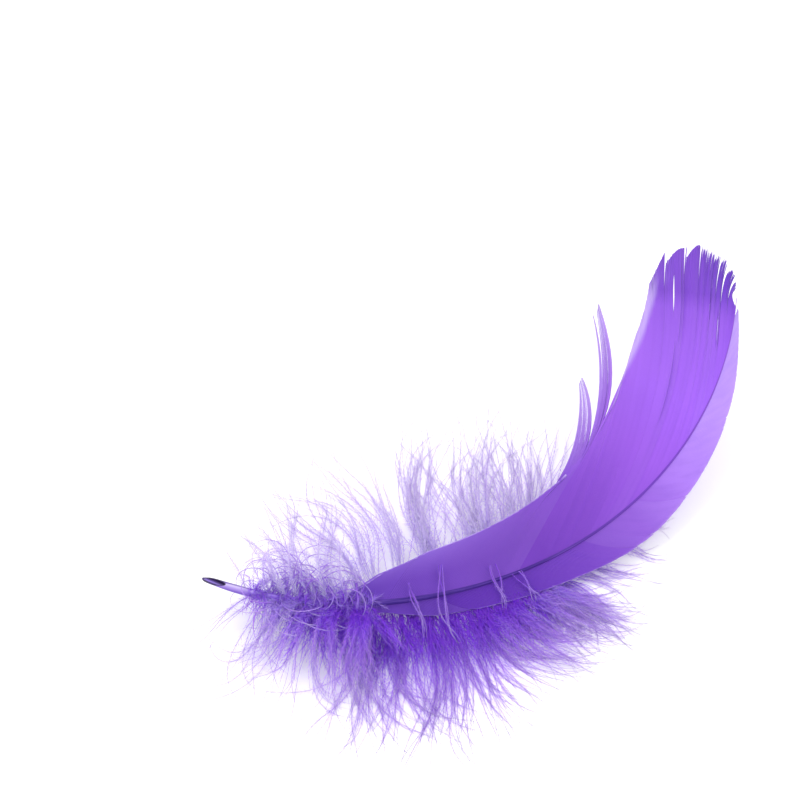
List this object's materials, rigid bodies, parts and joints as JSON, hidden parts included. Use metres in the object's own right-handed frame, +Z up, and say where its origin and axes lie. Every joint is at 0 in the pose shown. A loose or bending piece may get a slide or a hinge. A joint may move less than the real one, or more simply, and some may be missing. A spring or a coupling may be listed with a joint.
{
  "type": "goose quill feather",
  "caption": "Dyed goose feather lying belly up: bare quill end, down along the lower shaft, and a curved vane with a wide and a narrow side and a raised, ragged tip.",
  "frame": {"origin": "centre of the bounding box in plan, on the plane the feather rests on", "axes": "+X along the longest extent, from the quill end towards the outer curve of the vane; +Y towards the tip of the vane; +Z up"},
  "size_m": [0.1156, 0.1069, 0.0305],
  "materials": {
    "vane": "silky, dyed violet",
    "shaft": "dyed keratin, slightly glossy",
    "down": "soft, dyed violet, paler at the tips"
  },
  "bodies": {
    "root": {"feather": "vane"}
  },
  "joints": []
}
